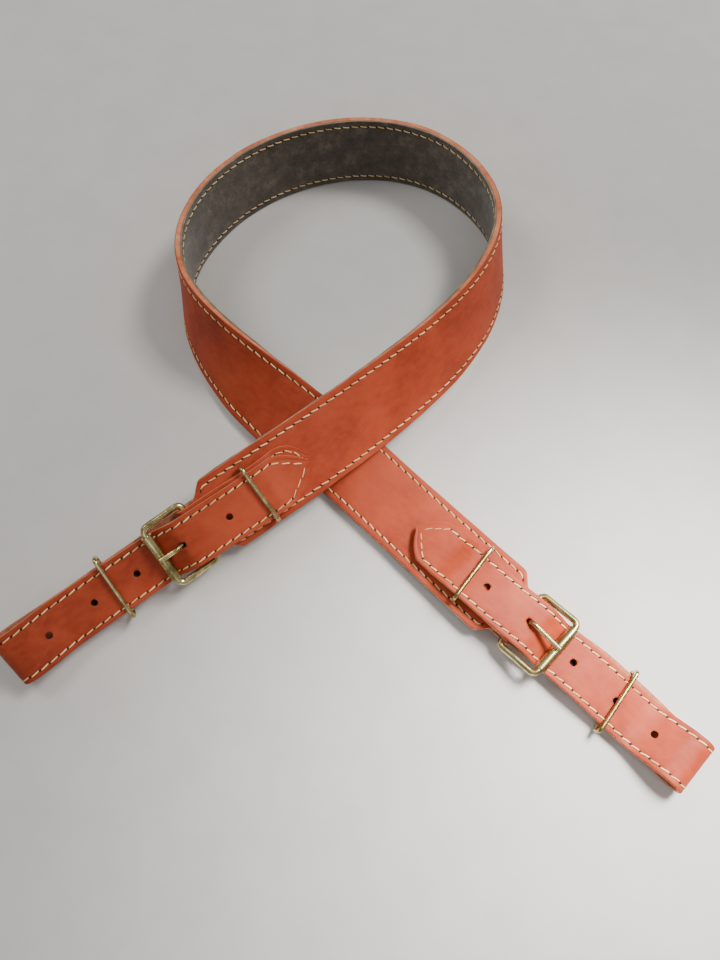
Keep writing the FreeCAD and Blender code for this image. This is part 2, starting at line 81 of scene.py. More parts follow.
# ---- and what follows from them: heights in an end's own frame ---------------------------------
BAND = LEATHER + LINING
HALF_BAND = BAND_WIDTH / 2
HALF_STRAP = STRAP_WIDTH / 2
HEEL_Z = 2.0
BAR_RADIUS = FRAME_WIRE / 2
COIL_RADIUS = BAR_RADIUS + 0.1 + PRONG_WIRE / 2
ON_BAND = BAND + GAP + STRAP / 2
KEEPER_LOW = BAND + BEAD + GAP + KEEPER_WIRE / 2
OVER_KEEPER = KEEPER_LOW + KEEPER_WIRE / 2 + GAP + STRAP / 2
ON_TONGUE = ON_BAND + STRAP + BEAD + THREAD_GAP
TAIL_OVER_KEEPER = OVER_KEEPER + STRAP + BEAD + THREAD_GAP
UNDER_BAND = -GAP - STRAP / 2
FIXED_END = UNDER_BAND - STRAP - THREAD_GAP
FOLD_RADIUS = BAR_RADIUS + 0.1 + STRAP / 2
ROLLER_Z = HEEL_Z + FRAME_REACH * math.sin(FRAME_TILT)
UNDER_ROLLER = ROLLER_Z - ROLLER_OUTER / 2 - BEAD - GAP - STRAP / 2

# ---- how the band lies between its ends: points of its line, and its lean there in degrees -----
MID_ROUTE = [(-8, 45, 4.9), (-38, 67, 9.6), (-72, 95, 17.6), (-102, 137, 20.6), (-91, 186, 19.5),
             (-52, 223, 19.5), (1, 236, 19.5), (46, 224, 19.6), (76, 185, 19.5), (71, 142, 22.3),
             (42, 97, 21.0)]
MID_LEAN = [4, 18, 54, 84, 98, 100, 99, 94, 86, 71, 50]
# From the lay's own origin to the centre of the footprint, on the surface.
PLACE = np.array([7.595, -63.866, -0.033])

# ---- how finely lines and sections are drawn ---------------------------------------------------
PATH_STEP = 1.0
ARC_STEP = 4.0
ROUTE_STEPS = 600
BAND_STEP = 0.72
BILLET_STEP = 0.8
CHAPE_STEP = 0.7
PEG_SIDES = 28
LEAST_HALF = 0.12

# ---- stitches ----------------------------------------------------------------------------------
STITCH_PITCH = 4.8
STITCH_SLANT = 0.34
STITCH_FLATNESS = 0.62
STITCH_SIDES = 8
# A stitch from one hole to the next: shares of the way, heights and half widths there.
STITCH_ALONG = np.array([0.05, 0.15, 0.32, 0.52, 0.72, 0.87, 0.96])
STITCH_LIFT = np.array([-0.38, 0.02, 0.18, 0.22, 0.18, 0.02, -0.38])
STITCH_GIRTH = np.array([0.15, 0.26, 0.31, 0.32, 0.31, 0.26, 0.15])
SUNK_IN_BAND = 0.12
SUNK_IN_STRAP = 0.10
BAND_ROW_END = 6.5
BILLET_ROW_END = 26
TIP_ROW_START = 3.4
TIP_ROW_HALF = 0.6
# The groove that a row lies in: places across it and shares of its depth.
GROOVE = ((-1.2, 0), (-0.7, 0.3), (-0.35, 0.8), (0, 1), (0.35, 0.8), (0.7, 0.3), (1.2, 0))
# The thread's pull on the leather: how far from its row, how deep, share that stays between holes.
BAND_PULL = (0.9, 0.07, 0.5)
STRAP_PULL = (0.8, 0.06, 0.4)

# ---- relief: how many waves, shortest, longest, height on the faces, depth in the cut edges ----
BAND_RELIEF = (26, 7, 30, 0.045, 0.10)
LINING_RELIEF = (30, 2.5, 14, 0.05, 0.09)
BILLET_RELIEF = (24, 6, 24, 0.04, 0.09)
CHAPE_RELIEF = (20, 6, 20, 0.03, 0.05)

SEED = 7
RNG = np.random.default_rng(SEED)


def unit(vector):
    return vector / np.linalg.norm(vector, axis=-1, keepdims=True)


def spline(values, u):
    """Clamped uniform cubic B-spline through control values, u from 0 to 1."""
    values = [np.asarray(value, float) for value in values]
    spans = len(values) - 3
    x = min(max(u, 0.0), 1.0) * spans
    first = min(int(x), spans - 1)
    knots = [0] * 3 + list(range(spans + 1)) + [spans] * 3
    work = values[first:first + 4]
    for level in range(1, 4):
        for j in range(3, level - 1, -1):
            low = knots[first + j]
            high = knots[first + j + 4 - level]
            share = (x - low) / (high - low)
            work[j] = work[j - 1] * (1 - share) + work[j] * share
    return work[3]


class EndFrame:
    """Where one end lies: x runs out along the strap, y across it, z through it."""

    def __init__(self, origin, heading, tilt, roll):
        head, rise, lean = (math.radians(angle) for angle in (heading, tilt, roll))
        self.origin = np.array(origin) + PLACE
        self.x = np.array([math.cos(head) * math.cos(rise), math.sin(head) * math.cos(rise), math.sin(rise)])
        level = np.array([-math.sin(head), math.cos(head), 0.0])
        self.y = level * math.cos(lean) + np.cross(self.x, level) * math.sin(lean)
        self.z = np.cross(self.x, self.y)
        self.roll = roll

    def point(self, x, y, z):
        return self.origin + self.x * x + self.y * y + self.z * z

    def local(self, point):
        return np.array([self.x, self.y, self.z]) @ (point - self.origin)

    def turn(self, vectors):
        return vectors @ np.array([self.x, self.y, self.z])


RIGHT = EndFrame((72.1, -34.2, 5.85), -44.5, 3.0, 0.0)
LEFT = EndFrame((-79.0, 6.7, 17.4), -144.5, -3.6, -33.0)
# Places are x in the end's own frame, holes are distances from the prong along the billet, and
# drift is the billet's way sideways from its tail to its hidden end.
SIDES = {
    "right": dict(frame=RIGHT, tongue=-58.5, chape_y=-0.5, tail=-64.2, tip=11.0, fixed_x=-29.2,
                  sliding_x=53.8, prong_rise=78.0, prong_play=0.85, buckle_y=0.0,
                  holes=[-25.2, 27.0, 51.5, 72.6],
                  run_end=68.8, run_z=-2.35, run_slope=-0.15, bight_x=90.8, bight_z=-3.7,
                  drift=[-1.5, -1.6, -1.9, -1.9, 0.2, 1.4, 2.0, 2.2, 3.2, 4.2, 4.4, 3.0, 1.0, 0.2, 0]),
    "left": dict(frame=LEFT, tongue=-61.5, chape_y=0.5, tail=-61.2, tip=15.0, fixed_x=-32.9,
                 sliding_x=46.0, prong_rise=41.0, prong_play=1.2, buckle_y=1.0,
                 holes=[-25.6, 26.0, 48.8, 73.0],
                 run_end=74.0, run_z=0.6, run_slope=0.0, bight_x=96.0, bight_z=1.7,
                 drift=[2.2, 2.1, 1.9, 1.8, 1.7, 1.2, 1.3, 1.6, 1.5, 1.2, 1.0, 0.8, 0.4, 0.1, 0]),
}


class Path:
    """A strap's middle line: points, normals through it, directions across it, and travel."""

    def __init__(self, points, normals, across):
        self.points = np.array(points)
        self.normals = np.array(normals)
        self.across = np.array(across)
        steps = np.linalg.norm(np.diff(self.points, axis=0), axis=1)
        self.travel = np.concatenate([[0.0], np.cumsum(steps)])
        self.length = self.travel[-1]

    def _mix(self, rows, s):
        index = np.clip(np.searchsorted(self.travel, s, side="right") - 1, 0, len(self.travel) - 2)
        share = (s - self.travel[index]) / (self.travel[index + 1] - self.travel[index])
        share = np.clip(share, 0, 1)[..., None]
        return rows[index] * (1 - share) + rows[index + 1] * share

    def at(self, s, y, z):
        """Points s along the line, y across the strap and z through it."""
        s, y, z = np.broadcast_arrays(s, y, z)
        across = unit(self._mix(self.across, s))
        normal = unit(self._mix(self.normals, s))
        return self._mix(self.points, s) + across * y[..., None] + normal * z[..., None]


def rounded_path(vertices):
    """Points (x, z), directions and travel along straight runs joined by tangent arcs. Each inner
    vertex is (x, z, radius of the bend)."""
    points, headings, travels = [], [], []
    travel = 0.0
    here = np.array(vertices[0][:2], float)
    for index in range(1, len(vertices)):
        corner = np.array(vertices[index][:2], float)
        heading = unit(corner - here)
        reach = 0.0
        if index < len(vertices) - 1:
            after = np.array(vertices[index + 1][:2]) - corner
            turn = math.atan2(heading[0] * after[1] - heading[1] * after[0], float(heading @ after))
            radius = vertices[index][2]
            reach = radius * math.tan(abs(turn) / 2)
        run = np.linalg.norm(corner - here) - reach
        if run > 0.01:
            count = max(1, math.ceil(run / PATH_STEP))
            for k in range(count):
                points.append(here + heading * (run * k / count))
                headings.append(heading)
                travels.append(travel + run * k / count)
        travel += max(run, 0.0)
        here = corner - heading * reach
        if reach > 0:
            side = 1 if turn > 0 else -1
            centre = here + np.array([-heading[1], heading[0]]) * (side * radius)
            pieces = max(2, math.ceil(abs(math.degrees(turn)) / ARC_STEP))
            spoke = here - centre
            for k in range(pieces + 1):
                angle = turn * k / pieces
                spin = np.array([[math.cos(angle), -math.sin(angle)], [math.sin(angle), math.cos(angle)]])
                if k < pieces:
                    points.append(centre + spin @ spoke)
                    headings.append(spin @ heading)
                    travels.append(travel + radius * abs(angle))
            here = centre + spin @ spoke
            travel += radius * abs(turn)
    points.append(here)
    headings.append(heading)
    travels.append(travel)
    return np.array(points), np.array(headings), np.array(travels)


def end_path(side, vertices, drift):
    """A narrow strap's line, given in its end's own frame and drifting sideways."""
    points, headings, travels = rounded_path(vertices)
    lateral = np.array([float(spline(drift, travel / travels[-1])) for travel in travels])
    local = np.column_stack([points[:, 0], lateral, points[:, 1]])
    normals = np.column_stack([-headings[:, 1], np.zeros(len(local)), headings[:, 0]])
    home = side["frame"]
    across = np.tile(home.y, (len(local), 1))
    return Path(home.turn(local) + home.origin, home.turn(normals), across)


def band_path():
    """The band's middle line from the right neck, round the loop, to the left neck."""
    points, normals, across = [], [], []
    for x in np.arange(NECK_END, -LEAD, -1.0):
        points.append(RIGHT.point(x, 0, BAND / 2))
        normals.append(RIGHT.z)
        across.append(RIGHT.y)
    ends = []
    for home in (RIGHT, LEFT):
        start = home.point(-LEAD, 0, BAND / 2)
        ends.append([start, start - home.x * 15])
    route = ends[0] + [np.array(point) + PLACE for point in MID_ROUTE] + ends[1][::-1]
    lean = [-RIGHT.roll] * 2 + MID_LEAN + [-LEFT.roll] * 2
    for step in range(ROUTE_STEPS + 1):
        u = step / ROUTE_STEPS
        facing = unit(spline(route, min(u + 0.0005, 1.0)) - spline(route, max(u - 0.0005, 0.0)))
        left = unit(np.cross([0, 0, 1], facing))
        flat = np.cross(facing, left)
        angle = math.radians(float(spline(lean, u)))
        normal = flat * math.cos(angle) + left * math.sin(angle)
        points.append(spline(route, u))
        normals.append(normal)
        across.append(np.cross(facing, normal))
    for x in np.arange(-LEAD + 1.0, NECK_END + 0.01, 1.0):
        points.append(LEFT.point(x, 0, BAND / 2))
        normals.append(LEFT.z)
        across.append(-LEFT.y)
    return Path(points, normals, across)


def billet_path(side):
    """From the tail's tip, through the buckle, round the bight and back under the neck."""
    keeper = side["fixed_x"]
    below = STRAP + GAP
    crown = side["bight_z"] + BIGHT_RADIUS
    floor = side["bight_z"] - BIGHT_RADIUS
    fold = side["bight_x"] + BIGHT_RADIUS
    end = side["run_end"]

    def run(x):
        return side["run_z"] + side["run_slope"] * (x - side["sliding_x"])

    vertices = [(side["tail"], ON_TONGUE), (keeper - 14, ON_TONGUE, 14), (keeper - 6.5, TAIL_OVER_KEEPER, 10),
                (keeper + 6.5, TAIL_OVER_KEEPER, 14), (8.2, 7.2, 7), (18.4, UNDER_ROLLER, 7),
                (RUN_START, run(RUN_START), 25), (end, run(end), 24),
                (side["bight_x"] - 4, crown, 16), (fold, crown, BIGHT_RADIUS), (fold, floor, BIGHT_RADIUS),
                (side["bight_x"] - 5, floor, 18), (end, run(end) - below, 24),
                (RUN_START, run(RUN_START) - below, 24), (12, FIXED_END, 24), (LEG_END, FIXED_END)]
    return end_path(side, vertices, side["drift"])


def chape_path(side):
    """From the tongue's end on the band, over the keeper's wire, round the bar and back."""
    keeper = side["fixed_x"]
    top = HEEL_Z + FOLD_RADIUS
    low = HEEL_Z - FOLD_RADIUS
    vertices = [(side["tongue"], ON_BAND), (keeper - 14, ON_BAND, 14), (keeper - 6.5, OVER_KEEPER, 10),
                (keeper + 6.5, OVER_KEEPER, 10), (keeper + 14, ON_BAND, 14), (NECK_END, ON_BAND, 8),
                (-0.6, top, 4), (FOLD_RADIUS, top, FOLD_RADIUS), (FOLD_RADIUS, low, FOLD_RADIUS),
                (-0.6, low, 4), (NECK_END, UNDER_BAND, 8), (LEG_END, UNDER_BAND)]
    return end_path(side, vertices, [side["chape_y"]] * 5)


# ---- widths ------------------------------------------------------------------------------------
def arc_height(points, x):
    """Height at x of the circle through three (x, height) points, on the side of the middle one."""
    (x0, y0), (x1, y1), (x2, y2) = points
    a = np.array([[x1 - x0, y1 - y0], [x2 - x0, y2 - y0]]) * 2
    b = np.array([x1 ** 2 - x0 ** 2 + y1 ** 2 - y0 ** 2, x2 ** 2 - x0 ** 2 + y2 ** 2 - y0 ** 2])
    cx, cy = np.linalg.solve(a, b)
    radius = math.hypot(x0 - cx, y0 - cy)
    rise = np.sqrt(np.maximum(radius ** 2 - (x - cx) ** 2, 0))
    return cy + rise if y1 > cy else cy - rise


def band_half(x):
    """Half width of the band at x in an end's own frame: shoulders down to the neck."""
    share = np.clip((x - SHOULDER_START) / (SHOULDER_END - SHOULDER_START), 0, 1)
    return HALF_BAND - (HALF_BAND - HALF_STRAP) * share * share * (3 - 2 * share)


def tail_half(s, tip):
    """Half width of the billet: a rounded point, then the full strap."""
    bow = arc_height([(1.0, 1.8), (tip / 2, HALF_STRAP / 2 + 2.2), (tip, HALF_STRAP)], s)
    nose = 1.8 * np.sqrt(np.clip(1 - (1 - s) ** 2, 0, 1))
    half = np.where(s < 1.0, nose, np.where(s < tip, bow, HALF_STRAP))
    return np.maximum(half, LEAST_HALF)


def tongue_half(s):
    """Half width of the chape: a round end, then the full strap."""
    inside = np.clip(HALF_STRAP - s, 0, HALF_STRAP)
    return np.maximum(np.sqrt(HALF_STRAP ** 2 - inside ** 2), LEAST_HALF)


# ---- relief ------------------------------------------------------------------------------------
def waves(count, shortest, longest):
    """A smooth random surface of (s, y), about -1 to 1, as a function."""
    lengths = np.exp(RNG.uniform(math.log(shortest), math.log(longest), count))
    angles = RNG.uniform(0, 2 * math.pi, count)
    phases = RNG.uniform(0, 2 * math.pi, count)
    kx = 2 * math.pi / lengths * np.cos(angles)
    ky = 2 * math.pi / lengths * np.sin(angles)

    def surface(s, y):
        total = np.zeros(np.broadcast(s, y).shape)
        for a, b, c in zip(kx, ky, phases):
            total += np.sin(a * s + b * y + c)
        return total / math.sqrt(count)

    return surface


def section(low, high, top_round, low_round, top_groove, low_groove, inset):
    """Closed cross-section: rows of (share of half width, inset from the edge, height, surface).
    Surface is 0 on the grain's side and 2 underneath."""
    def face(z, corner, sign, deep):
        rows = [(1, corner * (1 - math.cos(a)), z - sign * corner * (1 - math.sin(a)))
                for a in np.radians([0, 30, 60, 90])]
        rows += [(1, inset + offset, z - sign * deep * depth) for offset, depth in GROOVE]
        rows += [(share, None, z) for share in (0.75, 0.5, 0.25)]
        return rows

    top = face(high, top_round, 1, top_groove)
    bottom = face(low, low_round, -1, low_groove)
    ring = [(share, away, z, 0) for share, away, z in top]
    ring += [(0, None, high, 0)]
    ring += [(-share, away, z, 0) for share, away, z in top[::-1]]
    ring += [(-share, away, z, 2) for share, away, z in bottom]
    ring += [(0, None, low, 2)]
    ring += [(share, away, z, 2) for share, away, z in bottom[::-1]]
    return ring


def make_mesh(name, vertices, faces, materials, face_material=None, uv=None, smooth=True, tint=None):
    """A mesh piece from points in millimetres; uv runs along and across the strap."""
    mesh = bpy.data.meshes.new(name)
    mesh.from_pydata([tuple(v) for v in np.asarray(vertices) * MM], [], faces)
    for material in materials:
        mesh.materials.append(material)
    if face_material is not None:
        mesh.polygons.foreach_set("material_index", np.asarray(face_material, dtype=np.int32))
    mesh.polygons.foreach_set("use_smooth", [smooth] * len(mesh.polygons))
    if uv is not None:
        layer = mesh.uv_layers.new(name="strap")
        loops = np.empty(len(mesh.loops), dtype=np.int32)
        mesh.loops.foreach_get("vertex_index", loops)
        layer.data.foreach_set("uv", (np.asarray(uv)[loops] * MM).ravel())
    if tint is not None:
        shade = mesh.attributes.new("tint", "FLOAT", "POINT")
        shade.data.foreach_set("value", np.asarray(tint, dtype=np.float32))
    mesh.validate()
    mesh.update()
    piece = bpy.data.objects.new(name, mesh)
    bpy.context.scene.collection.objects.link(piece)
    return piece


def ribbon(name, path, travel, half, ring, materials, relief, pull=None):
    """A strap layer swept along a path. Materials are for the top, the edges and the underside."""
    *kind, amount, ragged = relief
    wobble = waves(*kind)
    travel = np.asarray(travel, float)
    count, size = len(travel), len(ring)
    width = half[:, None]
    share = np.array([row[0] for row in ring])[None, :]
    away = np.array([row[1] if row[1] is not None else 0.0 for row in ring])[None, :]
    height = np.array([row[2] for row in ring])[None, :] + np.zeros((count, 1))
    on_edge = np.array([row[1] is not None for row in ring])[None, :]
    surface = np.array([row[3] for row in ring])
    shrink = np.minimum(1.0, width / 5.0)
    edge_y = np.sign(share) * np.maximum(width - away * shrink, 0.02)
    inner = np.maximum(width - away.max() * shrink, 0.01)
    y = np.where(on_edge, edge_y, share * inner)
    s = travel[:, None] + np.zeros_like(y)
    rough = wobble(s, y) * amount
    height = height + np.where((surface == 0)[None, :], rough, np.abs(rough))
    edge_wobble = wobble(s * 0.35, np.sign(y) * 40.0)
    y = y + np.sign(y) * np.abs(y) / np.maximum(width, 0.5) * edge_wobble * ragged
    if pull is not None:
        height = height + pull(s, y, np.where(surface == 0, 1, -1)[None, :])
    vertices = path.at(s, y, height).reshape(-1, 3)
    faces, kinds = [], []
    tops = surface == 0
    for i in range(count - 1):
        for j in range(size):
            k = (j + 1) % size
            faces.append((i * size + j, i * size + k, (i + 1) * size + k, (i + 1) * size + j))
            kinds.append(0 if tops[j] and tops[k] else 2 if not tops[j] and not tops[k] else 1)
    faces.append(tuple(range(size - 1, -1, -1)))
    faces.append(tuple((count - 1) * size + j for j in range(size)))
    kinds += [1, 1]
    uv = np.stack([s, y], axis=-1).reshape(-1, 2)
    return make_mesh(name, vertices, faces, materials, kinds, uv)


# ---- materials ---------------------------------------------------------------------------------
def linear(red, green, blue):
    """An sRGB colour, 0 to 255, as linear RGBA."""
    values = []
    for value in (red, green, blue):
        value /= 255
        values.append(value / 12.92 if value <= 0.04045 else ((value + 0.055) / 1.055) ** 2.4)
    return (*values, 1.0)


class Nodes:
    """Short helper to wire a procedural material."""

    def __init__(self, name):
        self.material = bpy.data.materials.new(name)
        self.material.use_nodes = True
        self.tree = self.material.node_tree
        self.tree.nodes.clear()
        self.out = self.tree.nodes.new("ShaderNodeOutputMaterial")
        self.shader = self.tree.nodes.new("ShaderNodeBsdfPrincipled")
        self.tree.links.new(self.shader.outputs["BSDF"], self.out.inputs["Surface"])

    def add(self, kind, settings=None, **inputs):
        node = self.tree.nodes.new(kind)
        for key, value in (settings or {}).items():
            setattr(node, key, value)
        for key, value in inputs.items():
            self.set(node.inputs[key.replace("_", " ")], value)
        return node

    def set(self, socket, value):
        if isinstance(value, bpy.types.NodeSocket):
            self.tree.links.new(value, socket)
        else:
            socket.default_value = value

    def noise(self, vector, scale, detail, rough, stretch=None):
        if stretch is not None:
            vector = self.add("ShaderNodeMapping", None, Vector=vector, Scale=stretch).outputs["Vector"]
        node = self.add("ShaderNodeTexNoise", None, Vector=vector, Scale=scale, Detail=detail,
                        Roughness=rough)
        return node.outputs["Fac"]

    def ramp(self, fac, stops):
        node = self.add("ShaderNodeValToRGB", None, Fac=fac)
        while len(node.color_ramp.elements) < len(stops):
            node.color_ramp.elements.new(0.5)
        for element, (place, colour) in zip(node.color_ramp.elements, stops):
            element.position = place
            element.color = colour
        return node.outputs["Color"]

    def span(self, fac, low, high, to_low=0.0, to_high=1.0):
        node = self.add("ShaderNodeMapRange", None, Value=fac)
        for key, value in (("From Min", low), ("From Max", high), ("To Min", to_low), ("To Max", to_high)):
            node.inputs[key].default_value = value
        return node.outputs["Result"]

    def mix(self, fac, first, second):
        node = self.add("ShaderNodeMix", {"data_type": "RGBA"})
        self.set(node.inputs["Factor"], fac)
        self.set(node.inputs[6], first)
        self.set(node.inputs[7], second)
        return node.outputs[2]

    def math(self, operation, first, second=0.0):
        node = self.add("ShaderNodeMath", {"operation": operation})
        self.set(node.inputs[0], first)
        self.set(node.inputs[1], second)
        return node.outputs[0]

    def bump(self, height, strength, distance, normal=None):
        node = self.add("ShaderNodeBump", None, Height=height, Strength=strength, Distance=distance)
        if normal is not None:
            self.set(node.inputs["Normal"], normal)
        return node.outputs["Normal"]

    def object_space(self):
        return self.add("ShaderNodeTexCoord").outputs["Object"]

    def strap_space(self):
        return self.add("ShaderNodeUVMap", {"uv_map": "strap"}).outputs["UV"]


def leather_grain():
    """Smooth cognac grain: cloudy dye, faint creases, pores, a soft waxed sheen."""
    m = Nodes("cognac_grain")
    space = m.object_space()
    strap = m.strap_space()
    cloud = m.noise(space, 28, 5, 0.6)
    colour = m.ramp(cloud, [(0.30, linear(132, 44, 23)),
                            (0.48, linear(160, 59, 33)),
                            (0.66, linear(178, 74, 45))])
    fibres = m.noise(strap, 160, 5, 0.7, (1, 2.2, 1))
    colour = m.mix(m.span(fibres, 0.35, 0.7, 0, 0.35), colour, linear(190, 88, 56))
    specks = m.noise(space, 1500, 2, 0.6)
    colour = m.mix(m.span(specks, 0.62, 0.76, 0, 0.30), colour, linear(120, 48, 30))
    m.set(m.shader.inputs["Base Color"], colour)
    shine = m.noise(space, 60, 5, 0.65)
    m.set(m.shader.inputs["Roughness"], m.span(shine, 0.3, 0.75, 0.48, 0.66))
    m.shader.inputs["Specular IOR Level"].default_value = 0.20
    m.shader.inputs["Coat Weight"].default_value = 0.02
    m.shader.inputs["Coat Roughness"].default_value = 0.35
    cells = m.add("ShaderNodeTexVoronoi", {"feature": "DISTANCE_TO_EDGE"}, Vector=space, Scale=1150.0)
    normal = m.bump(m.span(cells.outputs["Distance"], 0.0, 0.12), 0.16, 0.00012)
    creases = m.noise(strap, 210, 6, 0.6, (1.9, 1, 1))
    normal = m.bump(creases, 0.35, 0.00022, normal)
    normal = m.bump(m.noise(space, 2600, 3, 0.6), 0.20, 0.00006, normal)
    m.set(m.shader.inputs["Normal"], normal)
    return m.material


def leather_edge():
    """Raw cut edge: lighter, fibrous, in long thin layers."""
    m = Nodes("raw_edge")
    space = m.object_space()
    layers = m.noise(m.strap_space(), 240, 5, 0.7, (0.4, 4, 1))
    fuzz = m.noise(space, 900, 4, 0.7)
    colour = m.ramp(layers, [(0.3, linear(176, 92, 60)),
                             (0.5, linear(212, 128, 88)),
                             (0.7, linear(236, 162, 118))])
    colour = m.mix(m.span(fuzz, 0.4, 0.7, 0, 0.5), colour, linear(178, 98, 66))
    m.set(m.shader.inputs["Base Color"], colour)
    m.shader.inputs["Roughness"].default_value = 0.86
    m.set(m.shader.inputs["Normal"], m.bump(fuzz, 0.55, 0.0003))
    return m.material


def leather_flesh():
    """The strap's unlined back: napped, paler and dull."""
    m = Nodes("flesh_side")
    space = m.object_space()
    nap = m.noise(space, 420, 6, 0.7)
    cloud = m.noise(space, 45, 4, 0.6)
    colour = m.ramp(nap, [(0.3, linear(148, 84, 58)),
                          (0.55, linear(184, 118, 86)),
                          (0.75, linear(208, 146, 112))])
    colour = m.mix(m.span(cloud, 0.35, 0.7, 0, 0.4), colour, linear(160, 92, 64))
    m.set(m.shader.inputs["Base Color"], colour)
    m.shader.inputs["Roughness"].default_value = 0.93
    m.shader.inputs["Sheen Weight"].default_value = 0.2
    m.set(m.shader.inputs["Normal"], m.bump(nap, 0.6, 0.0004))
    return m.material


def suede(name, dark, middle, light):
    """Napped suede with brushed patches and fine fibre."""
    m = Nodes(name)
    space = m.object_space()
    brushed = m.noise(space, 130, 6, 0.72)
    fibre = m.noise(space, 1500, 4, 0.7)
    colour = m.ramp(brushed, [(0.34, dark), (0.52, middle), (0.70, light)])
    colour = m.mix(m.span(fibre, 0.35, 0.7, 0.0, 0.55), colour, light)
    m.set(m.shader.inputs["Base Color"], colour)
    m.shader.inputs["Roughness"].default_value = 0.96
    m.shader.inputs["Specular IOR Level"].default_value = 0.2
    m.shader.inputs["Sheen Weight"].default_value = 0.35
    m.shader.inputs["Sheen Roughness"].default_value = 0.5
    normal = m.bump(brushed, 0.5, 0.0006)
    m.set(m.shader.inputs["Normal"], m.bump(fibre, 0.5, 0.0002, normal))
    return m.material


def thread():
    """Waxed cream thread, each stitch a little lighter or darker."""
    m = Nodes("cream_thread")
    tint = m.add("ShaderNodeAttribute", {"attribute_name": "tint"}).outputs["Fac"]
    colour = m.ramp(tint, [(0.0, linear(214, 174, 112)),
                           (0.5, linear(244, 212, 148)),
                           (1.0, linear(252, 230, 176))])
    m.set(m.shader.inputs["Base Color"], colour)
    m.shader.inputs["Roughness"].default_value = 0.6
    strands = m.noise(m.object_space(), 2600, 2, 0.5)
    m.set(m.shader.inputs["Normal"], m.bump(strands, 0.4, 0.0001))
    return m.material


def painted_hole_shade():
    """Painted shade: a near-black colour on a hole's inside, standing in for the shadow there."""
    m = Nodes("painted_hole_shade")
    speck = m.noise(m.object_space(), 900, 2, 0.5)
    colour = m.ramp(speck, [(0.3, linear(30, 11, 7)), (0.7, linear(56, 22, 13))])
    m.set(m.shader.inputs["Base Color"], colour)
    m.shader.inputs["Roughness"].default_value = 0.9
    return m.material


def antique_brass():
    """Brushed brass under a dark patina, with bright patches at random."""
    m = Nodes("antique_brass")
    space = m.object_space()
    patina = m.noise(space, 150, 5, 0.6)
    specks = m.noise(space, 1200, 4, 0.6)
    mixed = m.math("ADD", m.math("MULTIPLY", patina, 0.8), m.math("MULTIPLY", specks, 0.2))
    colour = m.ramp(mixed, [(0.34, linear(112, 99, 62)),
                            (0.46, linear(170, 154, 102)),
                            (0.60, linear(226, 213, 160))])
    m.set(m.shader.inputs["Base Color"], colour)
    m.shader.inputs["Metallic"].default_value = 1.0
    m.set(m.shader.inputs["Roughness"], m.span(mixed, 0.35, 0.65, 0.36, 0.17))
    m.set(m.shader.inputs["Normal"], m.bump(specks, 0.15, 0.0001))
    return m.material


GRAIN = leather_grain()
EDGE = leather_edge()
FLESH = leather_flesh()
SUEDE = suede("lining_suede", linear(48, 42, 36), linear(78, 69, 60), linear(118, 108, 96))
SUEDE_EDGE = suede("lining_edge", linear(92, 80, 66), linear(128, 112, 94), linear(160, 142, 120))
THREAD = thread()
HOLE_SHADE = painted_hole_shade()
BRASS = antique_brass()
BAND_SKIN = [GRAIN, EDGE, FLESH]
# The last slot is painted hole shade, for the walls of punched holes and the prong's slot.
STRAP_SKIN = [GRAIN, EDGE, FLESH, HOLE_SHADE]


# ---- stitches ----------------------------------------------------------------------------------
# A row's path, its holes' places along it, functions of those for the places across and through the
# strap, and the side it shows on: 1 for the grain, -1 for the lining.
Row = namedtuple("Row", "path holes y_of z_of side")
STITCH_RINGS = len(STITCH_ALONG)
STITCH_ANGLES = np.arange(STITCH_SIDES) * 2 * math.pi / STITCH_SIDES


def evenly(start, end):
    """Holes from start to end, as near the usual pitch as whole stitches allow."""
    count = max(2, round((end - start) / STITCH_PITCH) + 1)
    return np.linspace(start, end, count)


def steady(value):
    """The same place all along a row."""
    return lambda s: value + 0 * s


STRAP_ROW_Z = steady(STRAP / 2 - SUNK_IN_STRAP)


def thread_pull(s, y, row_y, holes, pull):
    """How far the thread draws the leather in, most at the holes."""
    reach, depth, stays = pull
    near = np.exp(-((np.abs(y) - row_y) / reach) ** 2)
    phase = np.cos((s - holes[0]) / (holes[1] - holes[0]) * 2 * math.pi)
    return near * depth * (phase + stays)


def stitch_points(row, start, end):
    """Points of one stitch between two holes: rings of a flattened thread that dips at both ends."""
    slant = STITCH_SLANT + RNG.uniform(-0.09, 0.09)
    high = 1 + RNG.uniform(-0.15, 0.15)
    s = start + (end - start) * STITCH_ALONG
    y = row.y_of(s) + slant * (STITCH_ALONG - 0.5) * 2 * row.side
    girth = STITCH_GIRTH[:, None]
    bulge = STITCH_LIFT[:, None] * high + np.sin(STITCH_ANGLES) * girth * STITCH_FLATNESS
    ring_s = s[:, None] + np.zeros(STITCH_SIDES)
    ring_y = y[:, None] + np.cos(STITCH_ANGLES) * girth
    return row.path.at(ring_s, ring_y, row.z_of(s)[:, None] + row.side * bulge).reshape(-1, 3)


def stitch_faces(base, side):
    """Faces of one stitch whose points start at base, turned outwards on either side."""
    faces = []
    for i in range(STITCH_RINGS - 1):
        for j in range(STITCH_SIDES):
            k = (j + 1) % STITCH_SIDES
            near, far = base + i * STITCH_SIDES, base + (i + 1) * STITCH_SIDES
            quad = (near + j, near + k, far + k, far + j)
            faces.append(quad if side < 0 else quad[::-1])
    first = tuple(base + j for j in range(STITCH_SIDES))
    last = tuple(base + (STITCH_RINGS - 1) * STITCH_SIDES + j for j in range(STITCH_SIDES))
    return faces + [first if side > 0 else first[::-1], last[::-1] if side > 0 else last]


